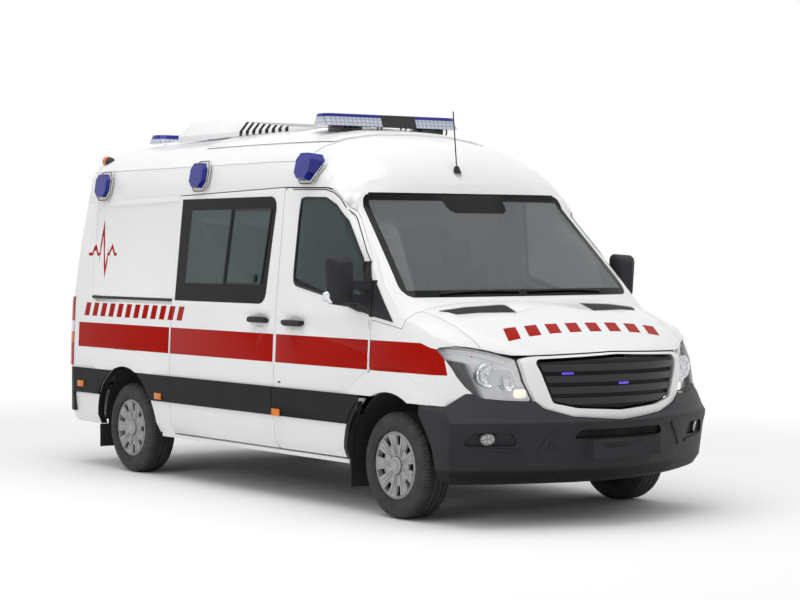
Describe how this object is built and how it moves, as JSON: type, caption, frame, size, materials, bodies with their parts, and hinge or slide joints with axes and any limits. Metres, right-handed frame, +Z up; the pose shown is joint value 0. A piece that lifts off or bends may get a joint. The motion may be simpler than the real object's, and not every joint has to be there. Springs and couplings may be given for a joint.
{
  "type": "ambulance",
  "caption": "High-roof panel van fitted out as an ambulance, with roof beacons, a sliding side door, opening cab doors, rear doors and bonnet, and a steered front axle.",
  "frame": {"origin": "on the ground under the middle of the vehicle's box", "axes": "+X to the front, +Y to the left, +Z up"},
  "size_m": [5.245, 2.4392, 2.51],
  "materials": {
    "white_paint": "gloss",
    "tinted_glass": "gloss",
    "black_plastic": "satin",
    "reflector": "gloss",
    "clear_lens": "gloss",
    "red_lens": "gloss",
    "amber_lens": "gloss",
    "blue_lens": "gloss",
    "pale_plastic": "gloss",
    "white_plastic": "satin",
    "dash_plastic": "matte",
    "seat_fabric": "matte",
    "laminate": "satin",
    "engine_metal": "matte",
    "chassis": "satin",
    "tyre_rubber": "matte",
    "wheel_cover": "satin"
  },
  "bodies": {
    "vehicle": {"floor_pan": "chassis", "body_side_l": "white_paint", "body_side_r": "white_paint", "roof": "white_paint", "roof_cap": "white_paint", "cab_frame": "white_paint", "front_wings": "white_paint", "sliding_door": "white_paint", "fixed_glass": "tinted_glass", "front_bumper": "black_plastic", "plate_holder": "black_plastic", "nose_panel": "white_paint", "grille": "black_plastic", "headlamp_housings": "reflector", "front_lenses": "clear_lens", "rear_bumper": "black_plastic", "tail_lamps": "red_lens", "lower_trim": "black_plastic", "side_markers": "amber_lens", "wipers": "black_plastic", "dashboard": "dash_plastic", "seats": "seat_fabric", "cabin_fittings": "laminate", "engine": "engine_metal", "front_axle": "chassis", "rear_axle": "chassis", "underbody": "chassis", "wheel_houses": "dash_plastic", "beacon_lenses": "blue_lens", "beacon_bases": "pale_plastic", "roof_unit": "white_plastic", "antenna": "black_plastic", "hinges": "chassis"},
    "door_l": {"front_door_l": "white_paint", "door_glass_l": "tinted_glass", "door_trim_l": "black_plastic"},
    "door_r": {"front_door_r": "white_paint", "door_glass_r": "tinted_glass", "door_trim_r": "black_plastic"},
    "tail_door_l": {"rear_door_l": "white_paint", "rear_glass_l": "tinted_glass"},
    "tail_door_r": {"rear_door_r": "white_paint", "rear_glass_r": "tinted_glass"},
    "hood": {"bonnet": "white_paint", "bonnet_vents": "black_plastic"},
    "steer_l": {"knuckle_l": "chassis"},
    "steer_r": {"knuckle_r": "chassis"},
    "wheel_fl": {"tyre_fl": "tyre_rubber", "rim_fl": "wheel_cover"},
    "wheel_fr": {"tyre_fr": "tyre_rubber", "rim_fr": "wheel_cover"},
    "wheel_rl": {"tyre_rl": "tyre_rubber", "rim_rl": "wheel_cover"},
    "wheel_rr": {"tyre_rr": "tyre_rubber", "rim_rr": "wheel_cover"}
  },
  "joints": [
    {"name": "front_door_left", "type": "hinge", "parent": "vehicle", "child": "door_l", "pos_m": [1.4025, 0.9875, 1], "axis": [0, 0, -1], "range_deg": [0, 70]},
    {"name": "front_door_right", "type": "hinge", "parent": "vehicle", "child": "door_r", "pos_m": [1.4025, -0.9875, 1], "axis": [0, 0, 1], "range_deg": [0, 70]},
    {"name": "rear_door_left", "type": "hinge", "parent": "vehicle", "child": "tail_door_l", "pos_m": [-2.5345, 0.7965, 1.3], "axis": [0, 0, -1], "range_deg": [0, 180]},
    {"name": "rear_door_right", "type": "hinge", "parent": "vehicle", "child": "tail_door_r", "pos_m": [-2.5345, -0.7965, 1.3], "axis": [0, 0, 1], "range_deg": [0, 180]},
    {"name": "bonnet_hinge", "type": "hinge", "parent": "vehicle", "child": "hood", "pos_m": [1.7365, 0, 1.288], "axis": [0, -1, 0], "range_deg": [0, 58]},
    {"name": "steering_left", "type": "hinge", "parent": "vehicle", "child": "steer_l", "pos_m": [1.6125, 0.723, 0.319], "axis": [0, 0, 1], "range_deg": [-35, 35]},
    {"name": "steering_right", "type": "hinge", "parent": "vehicle", "child": "steer_r", "pos_m": [1.6125, -0.723, 0.319], "axis": [0, 0, 1], "range_deg": [-35, 35]},
    {"name": "roll_front_left", "type": "hinge", "parent": "steer_l", "child": "wheel_fl", "pos_m": [1.6125, 0.848, 0.319], "axis": [0, 1, 0], "continuous": true},
    {"name": "roll_front_right", "type": "hinge", "parent": "steer_r", "child": "wheel_fr", "pos_m": [1.6125, -0.848, 0.319], "axis": [0, 1, 0], "continuous": true},
    {"name": "roll_rear_left", "type": "hinge", "parent": "vehicle", "child": "wheel_rl", "pos_m": [-1.6375, 0.848, 0.319], "axis": [0, 1, 0], "continuous": true},
    {"name": "roll_rear_right", "type": "hinge", "parent": "vehicle", "child": "wheel_rr", "pos_m": [-1.6375, -0.848, 0.319], "axis": [0, 1, 0], "continuous": true}
  ],
  "couplings": [
    {"joint": "steering_right", "follows": "steering_left", "ratio": 1}
  ]
}
